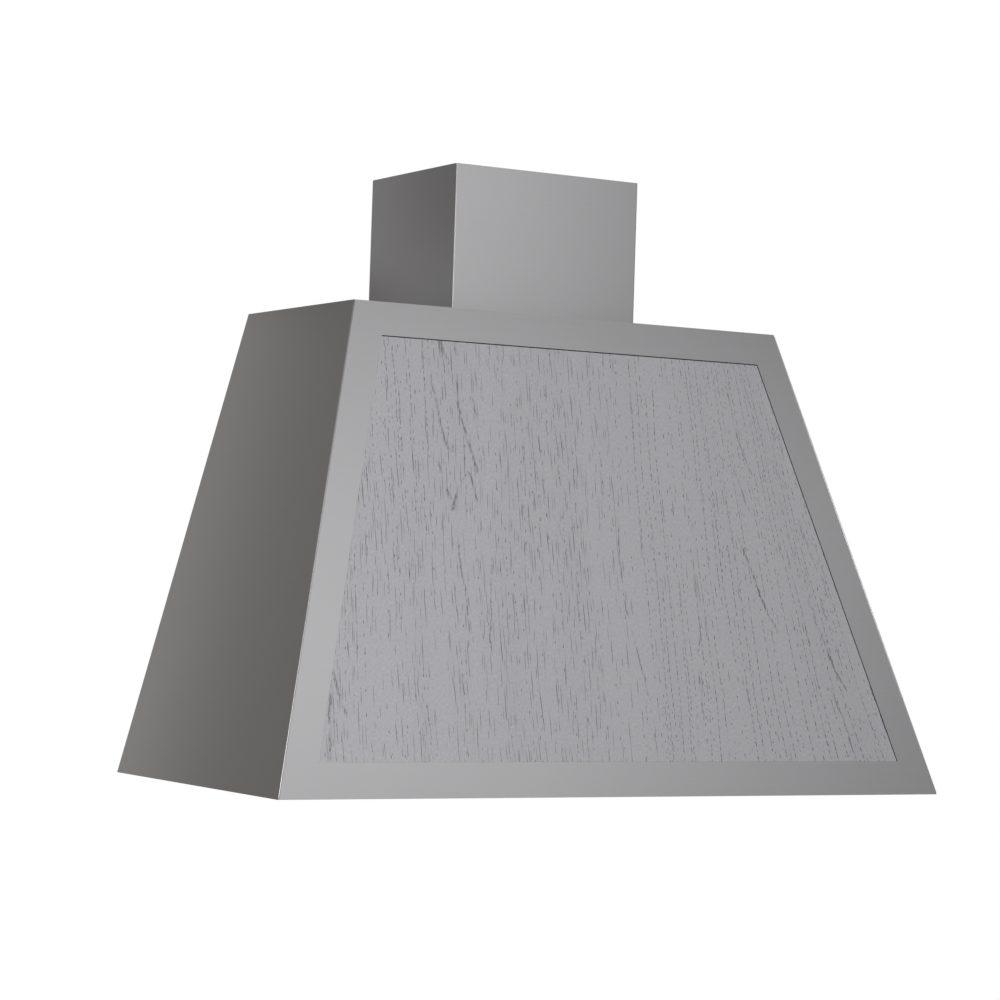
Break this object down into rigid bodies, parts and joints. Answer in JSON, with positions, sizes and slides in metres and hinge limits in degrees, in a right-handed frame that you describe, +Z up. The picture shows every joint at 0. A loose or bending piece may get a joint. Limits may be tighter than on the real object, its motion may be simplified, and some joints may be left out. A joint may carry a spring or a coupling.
{
  "type": "range hood",
  "caption": "Wall-mounted tapered canopy range hood with a framed wood front panel, chimney cover, baffle filters that swing down, blower, damper, lamps and push buttons.",
  "frame": {"origin": "middle of the canopy's lower rear edge, on the wall's face", "axes": "X runs along the wall, +Y points into the wall so the front faces -Y, +Z is up"},
  "size_m": [1.067, 0.518, 0.883],
  "materials": {
    "canopy_steel": "satin brushed stainless",
    "limed_oak": "limed grey, open pores",
    "liner_steel": "satin stainless",
    "galvanised": "galvanised sheet",
    "filter_steel": "bright stainless",
    "handle_steel": "polished rod",
    "button_steel": "polished",
    "lamp_trim": "polished",
    "lamp_glass": "frosted",
    "lamp_aluminium": "cast, finned",
    "black_plastic": "moulded",
    "circuit_board": "laminate",
    "blower_steel": "galvanised sheet",
    "motor_paint": "satin black enamel",
    "shaft_steel": "ground bar",
    "damper_aluminium": "mill finish",
    "zinc_screw": "zinc plated",
    "spring_steel": "blued leaf",
    "magnet": "ferrite block"
  },
  "bodies": {
    "hood": {"base_rail_front": "liner_steel", "base_rail_left": "liner_steel", "base_rail_rear": "liner_steel", "base_rail_right": "liner_steel", "chimney_angles": "galvanised", "chimney_bracket": "galvanised", "chimney_cover": "canopy_steel", "control_board": "circuit_board", "control_box": "black_plastic", "control_plate": "liner_steel", "cup_clips": "spring_steel", "damper_pins": "zinc_screw", "duct_collar": "galvanised", "filter_catches": "magnet", "filter_saddles": "black_plastic", "frame_bottom_rail": "canopy_steel", "frame_left_stile": "canopy_steel", "frame_right_stile": "canopy_steel", "frame_top_rail": "canopy_steel", "grease_gutter": "liner_steel", "hanger_plates": "galvanised", "junction_box": "galvanised", "junction_box_cover": "galvanised", "lamp_bezels": "lamp_trim", "lamp_bodies": "lamp_aluminium", "lamp_lenses": "lamp_glass", "left_side_panel": "canopy_steel", "light_panel": "liner_steel", "liner_left": "liner_steel", "liner_right": "liner_steel", "motor": "motor_paint", "motor_bracket": "blower_steel", "panel_screws": "zinc_screw", "rear_panel": "galvanised", "right_side_panel": "canopy_steel", "scroll_left_side": "blower_steel", "scroll_right_side": "blower_steel", "scroll_wrap": "blower_steel", "sheet_screws": "zinc_screw", "top_panel": "galvanised", "wood_panel": "limed_oak"},
    "blower_rotor": {"blower_wheel": "blower_steel", "blower_shaft": "shaft_steel"},
    "front_damper": {"damper_flap_front": "damper_aluminium"},
    "rear_damper": {"damper_flap_rear": "damper_aluminium"},
    "left_filter": {"filter_left_frame": "filter_steel", "filter_left_baffles": "filter_steel", "filter_left_handle": "handle_steel"},
    "centre_filter": {"filter_centre_frame": "filter_steel", "filter_centre_baffles": "filter_steel", "filter_centre_handle": "handle_steel"},
    "right_filter": {"filter_right_frame": "filter_steel", "filter_right_baffles": "filter_steel", "filter_right_handle": "handle_steel"},
    "grease_tray": {"grease_cup": "liner_steel"},
    "light_button": {"button_light": "button_steel"},
    "stop_button": {"button_stop": "button_steel"},
    "low_button": {"button_low": "button_steel"},
    "medium_button": {"button_medium": "button_steel"},
    "high_button": {"button_high": "button_steel"}
  },
  "joints": [
    {"name": "blower_spin", "type": "hinge", "parent": "hood", "child": "blower_rotor", "pos_m": [0, -0.241, 0.455], "axis": [1, 0, 0], "continuous": true},
    {"name": "front_damper_hinge", "type": "hinge", "parent": "hood", "child": "front_damper", "pos_m": [0, -0.136, 0.688], "axis": [-1, 0, 0], "range_deg": [0, 80]},
    {"name": "rear_damper_hinge", "type": "hinge", "parent": "hood", "child": "rear_damper", "pos_m": [0, -0.118, 0.688], "axis": [1, 0, 0], "range_deg": [0, 80]},
    {"name": "left_filter_hinge", "type": "hinge", "parent": "hood", "child": "left_filter", "pos_m": [-0.30362, -0.0867, 0.0451], "axis": [1, 0, 0], "range_deg": [0, 55]},
    {"name": "centre_filter_hinge", "type": "hinge", "parent": "hood", "child": "centre_filter", "pos_m": [0, -0.0867, 0.0451], "axis": [1, 0, 0], "range_deg": [0, 55]},
    {"name": "right_filter_hinge", "type": "hinge", "parent": "hood", "child": "right_filter", "pos_m": [0.30362, -0.0867, 0.0451], "axis": [1, 0, 0], "range_deg": [0, 55]},
    {"name": "grease_tray_slide", "type": "slide", "parent": "hood", "child": "grease_tray", "axis": [0, 0, -1], "range_m": [0, 0.045]},
    {"name": "light_button_press", "type": "slide", "parent": "hood", "child": "light_button", "axis": [0, 0, 1], "range_m": [0, 0.002], "stiffness_N_per_m": 800, "springref_m": -0.0005},
    {"name": "stop_button_press", "type": "slide", "parent": "hood", "child": "stop_button", "axis": [0, 0, 1], "range_m": [0, 0.002], "stiffness_N_per_m": 800, "springref_m": -0.0005},
    {"name": "low_button_press", "type": "slide", "parent": "hood", "child": "low_button", "axis": [0, 0, 1], "range_m": [0, 0.002], "stiffness_N_per_m": 800, "springref_m": -0.0005},
    {"name": "medium_button_press", "type": "slide", "parent": "hood", "child": "medium_button", "axis": [0, 0, 1], "range_m": [0, 0.002], "stiffness_N_per_m": 800, "springref_m": -0.0005},
    {"name": "high_button_press", "type": "slide", "parent": "hood", "child": "high_button", "axis": [0, 0, 1], "range_m": [0, 0.002], "stiffness_N_per_m": 800, "springref_m": -0.0005}
  ]
}
